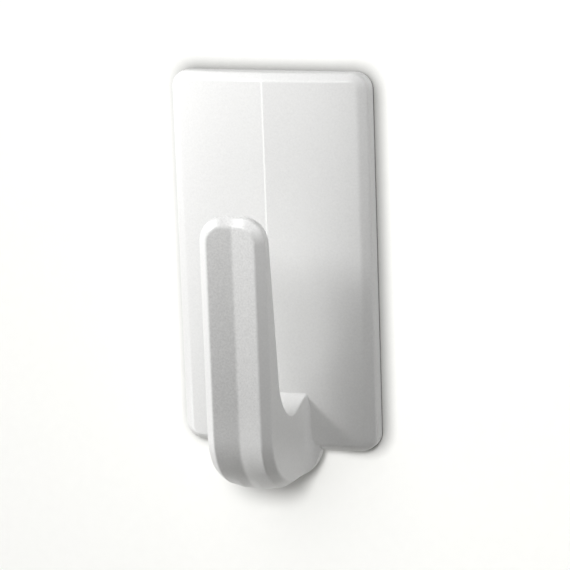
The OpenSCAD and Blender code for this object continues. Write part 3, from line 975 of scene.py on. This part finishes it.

# %% [markdown]
# ### The strip's foam
#
# Closed-cell polyethylene foam: a soft cream-white mass of bubbles, each a few tenths of a millimetre
# across, cut open at the edges. Each bubble's hollow is painted darker than its wall, which is painted
# shade. Voronoi cells give that at once: the distance from a cell's middle sets both the tint and the
# bump.

# %% Polyethylene foam
CELL, PATCH = 0.45, 6.0   # mm; real bubbles are 0.2 to 0.4 mm, and are drawn coarser so that they show
foam_white, spot = new_material("polyethylene_foam")
cells = add(foam_white, "TexVoronoi", {"Vector": spot, "Scale": PER_MM / CELL})
patch = add(foam_white, "TexNoise", {"Vector": spot, "Scale": PER_MM / PATCH, "Detail": 2.0})
wall_tint = add(foam_white, "Mix", {"Factor": patch.outputs["Fac"], "A": linear("#ece8dd"),
                                    "B": linear("#f6f4ee")}, data_type="RGBA")
# painted shade: the tint is darkest at each cell's middle, in the bubble's hollow
tint = add(foam_white, "Mix", {"Factor": cells.outputs["Distance"], "A": linear("#d9d4c6"),
                               "B": wall_tint.outputs[2]}, data_type="RGBA")
bubbles = add(foam_white, "Bump", {"Height": cells.outputs["Distance"], "Strength": 0.5,
                                   "Distance": 0.08 * MM})
gloss = add(foam_white, "MapRange", {"Value": patch.outputs["Fac"], "To Min": 0.68, "To Max": 0.86})
shader = add(foam_white, "BsdfPrincipled", {"Base Color": tint.outputs[2], "Roughness": gloss.outputs[0],
                                            "IOR": 1.51, "Normal": bubbles.outputs[0]})
wear(foam_white, shader, foam)

# %% [markdown]
# ### The adhesive
#
# A rubber and resin mix, coated wet on the foam and dried. It is milky and a little yellow, with the low
# waves that any coating shows, drawn out along the web it was coated on. Tacky spots shine and dusty
# spots don't, so the roughness wanders. Both layers keep their CAD shape, which is a plain thin sheet.

# %% Rubber-resin adhesive on both faces
WAVE, DUST, WAVE_SQUEEZE = 1.6, 4.5, 0.25   # two widths in mm, and a scale along the waves
glue, spot = new_material("rubber_resin_adhesive")
drawn = add(glue, "Mapping", {"Vector": spot, "Scale": (1.0, 1.0, WAVE_SQUEEZE)})
waves = add(glue, "TexNoise", {"Vector": drawn.outputs[0], "Scale": PER_MM / WAVE, "Detail": 2.0})
dust = add(glue, "TexNoise", {"Vector": spot, "Scale": PER_MM / DUST, "Detail": 4.0})
tint = add(glue, "Mix", {"Factor": dust.outputs["Fac"], "A": linear("#ddd6c0"), "B": linear("#ece7d8")},
           data_type="RGBA")
gloss = add(glue, "MapRange", {"Value": dust.outputs["Fac"], "From Min": 0.3, "From Max": 0.7,
                               "To Min": 0.22, "To Max": 0.5})
ripple = add(glue, "Bump", {"Height": waves.outputs["Fac"], "Strength": 0.4, "Distance": 0.05 * MM})
shader = add(glue, "BsdfPrincipled", {"Base Color": tint.outputs[2], "Roughness": gloss.outputs[0],
                                      "IOR": 1.52, "Normal": ripple.outputs[0]})
wear(glue, shader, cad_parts["base_side_adhesive"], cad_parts["wall_side_adhesive"])

# %% [markdown]
# ### The tab's film
#
# Clear polyester film keeps the pull tab from sticking. Over white foam it reads as a smooth, cool white
# with a clean shine, crossed by the fine lines of the roller that drew it and by soft dimples where the
# foam gives way below. The tint is painted darker where the dimples dip, which is painted shade. It keeps
# its CAD shape too.

# %% Polyester film on the pull tab
ROLLER_LINE, DIMPLE, LINE_SQUEEZE = 0.7, 3.5, 0.05   # two widths in mm, and a scale along the lines
film, spot = new_material("polyester_film")
drawn = add(film, "Mapping", {"Vector": spot, "Scale": (1.0, 1.0, LINE_SQUEEZE)})
lines = add(film, "TexNoise", {"Vector": drawn.outputs[0], "Scale": PER_MM / ROLLER_LINE, "Detail": 1.0})
dimples = add(film, "TexNoise", {"Vector": spot, "Scale": PER_MM / DIMPLE, "Detail": 1.0})
# painted shade: the tint follows the dimples and is darker where they dip
tint = add(film, "Mix", {"Factor": dimples.outputs["Fac"], "A": linear("#d5dade"),
                         "B": linear("#e6e9eb")}, data_type="RGBA")
gloss = add(film, "MapRange", {"Value": lines.outputs["Fac"], "To Min": 0.08, "To Max": 0.24})
soft_dents = add(film, "Bump", {"Height": dimples.outputs["Fac"], "Strength": 0.5,
                                "Distance": 0.08 * MM})
shader = add(film, "BsdfPrincipled", {"Base Color": tint.outputs[2], "Roughness": gloss.outputs[0],
                                      "IOR": 1.64, "Normal": soft_dents.outputs[0]})
wear(film, shader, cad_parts["tab_front_film"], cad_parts["tab_back_film"])

# %% [markdown]
# ## The stage
#
# The photograph shows the hook on a white wall that is lit evenly, so the wall reads as white all round
# and only a close, soft shadow shows that the hook stands on it. One plane makes the wall and another a
# pale floor below the picture. Seen from behind, the wall turns clear and casts no shadow, so that the
# back of the hook can be lit and looked at too: Backfacing tells the two sides apart. Ambient Occlusion
# darkens the paint close to the hook, as even light from all round would, and a Gamma node deepens that.
# The wall doesn't throw light back on the hook, because its lamps are far too strong for that: they
# light the wall to white, and the hook has its own.

# %% Planes for the wall and the floor
STAGE_SIZE, WALL_BEHIND, FLOOR_BELOW = 6.0, 0.3 * MM, 0.3


def stage_plane(name, **place):
    """A large plane that isn't part of the object."""
    bpy.ops.object.select_all(action="DESELECT")
    bpy.ops.mesh.primitive_plane_add(size=STAGE_SIZE, **place)
    plane = bpy.context.active_object
    plane.name = name
    return plane


wall = stage_plane("stage_wall", location=(0, WALL_BEHIND, 0), rotation=(math.pi / 2, 0, 0))
wall.visible_shadow = False
wall.visible_diffuse = False
floor = stage_plane("stage_floor", location=(0, 0, -FLOOR_BELOW))
print("wall and floor are", STAGE_SIZE, "m wide")

# %% Paint of the wall and the floor
ROLLER_NAP, MOTTLE, SHADE_REACH, SHADE_GAMMA = 2.5, 40.0, 3.5, 1.4   # three sizes in mm, and a power
paint, spot = new_material("matt_wall_paint")
roller = add(paint, "TexNoise", {"Vector": spot, "Scale": PER_MM / ROLLER_NAP, "Detail": 2.0})
tint = add(paint, "Mix", {"Factor": roller.outputs["Fac"], "A": linear("#fafaf8"),
                          "B": linear("#fdfdfb")}, data_type="RGBA")
shade = add(paint, "AmbientOcclusion", {"Color": tint.outputs[2], "Distance": SHADE_REACH * MM})
deeper = add(paint, "Gamma", {"Color": shade.outputs["Color"], "Gamma": SHADE_GAMMA})
front = add(paint, "BsdfDiffuse", {"Color": deeper.outputs["Color"]})
clear = add(paint, "BsdfTransparent")
behind = add(paint, "NewGeometry").outputs["Backfacing"]
wear(paint, add(paint, "MixShader", {0: behind, 1: front.outputs[0], 2: clear.outputs[0]}), wall)

pale, spot = new_material("pale_floor")
mottle = add(pale, "TexNoise", {"Vector": spot, "Scale": PER_MM / MOTTLE, "Detail": 2.0})
tint = add(pale, "Mix", {"Factor": mottle.outputs["Fac"], "A": linear("#efeeea"),
                         "B": linear("#f4f3f0")}, data_type="RGBA")
wear(pale, add(pale, "BsdfDiffuse", {"Color": tint.outputs[2]}), floor)

# %% [markdown]
# ## The light
#
# The photograph has soft studio light from the upper left: the left rim and the arm's left bevel are
# brightest, the front darkens towards the lower right, and the shadows stay open. One large softbox
# would light the whole front alike. So small ones stand close to the hook, where their light falls off
# within its length: three on the left, one above, and two on the right that open the shadows and draw
# the right edges. They would light the wall unevenly, so light linking keeps them off it. The wall has
# two lamps of its own: a wide one for an even white, and a smaller one that throws the shadow under the
# bend. The last lamp stands behind the wall and lights the back of the hook for views from there.

# %% World, and what each lamp lights
WORLD_STRENGTH = 0.09
world = bpy.data.worlds.new("studio")
world.use_nodes = True
sky = world.node_tree.nodes["Background"].inputs
sky["Color"].default_value, sky["Strength"].default_value = linear("#ffffff"), WORLD_STRENGTH
bpy.context.scene.world = world
bpy.context.scene.view_settings.view_transform = "Standard"

wall_alone = bpy.data.collections.new("wall_alone")
all_but_wall = bpy.data.collections.new("all_but_wall")
for group in (wall_alone, all_but_wall):
    group.objects.link(wall)
all_but_wall.collection_objects[0].light_linking.link_state = "EXCLUDE"
print("sky strength", WORLD_STRENGTH)

# %% Softboxes
LIT_MIDDLE = Vector((0.0, 0.0, -12.0)) * MM


def softbox(name, turn, lift, distance, size, watts, lights):
    """A round lamp aimed at the hook, turned to the right from straight ahead and lifted, in degrees."""
    away = direction(math.radians(turn), math.radians(lift))
    bpy.ops.object.select_all(action="DESELECT")
    bpy.ops.object.light_add(type="AREA", location=LIT_MIDDLE + distance * away)
    lamp = bpy.context.active_object
    lamp.name = name
    lamp.data.shape, lamp.data.size, lamp.data.energy = "DISK", size, watts
    lamp.rotation_euler = away.to_track_quat("Z", "Y").to_euler()
    lamp.light_linking.receiver_collection = lights


# Each line gives the name, turn, lift, distance and width in metres, watts, and what the lamp lights.
LAMPS = (
    ("key_upper_left", -38, 33, 0.16, 0.05, 0.085, all_but_wall),
    ("near_top", 8, 38, 0.13, 0.04, 0.029, all_but_wall),
    ("key_left", -71, -29, 0.22, 0.07, 0.11, all_but_wall),
    ("front_left", -55, 29, 0.35, 0.09, 0.6, all_but_wall),
    ("fill_right", 68, -24, 0.6, 0.25, 0.37, all_but_wall),
    ("edge_right", 84, 40, 0.3, 0.1, 0.22, all_but_wall),
    ("wall_wide", -10, 30, 0.9, 1.2, 4.8, wall_alone),
    ("wall_close", 14, 20, 0.9, 0.25, 5.3, wall_alone),
    ("back_lamp", 180, 10, 0.9, 0.6, 2.4, all_but_wall),
)
for lamp in LAMPS:
    softbox(*lamp)
print(len(LAMPS), "lamps")
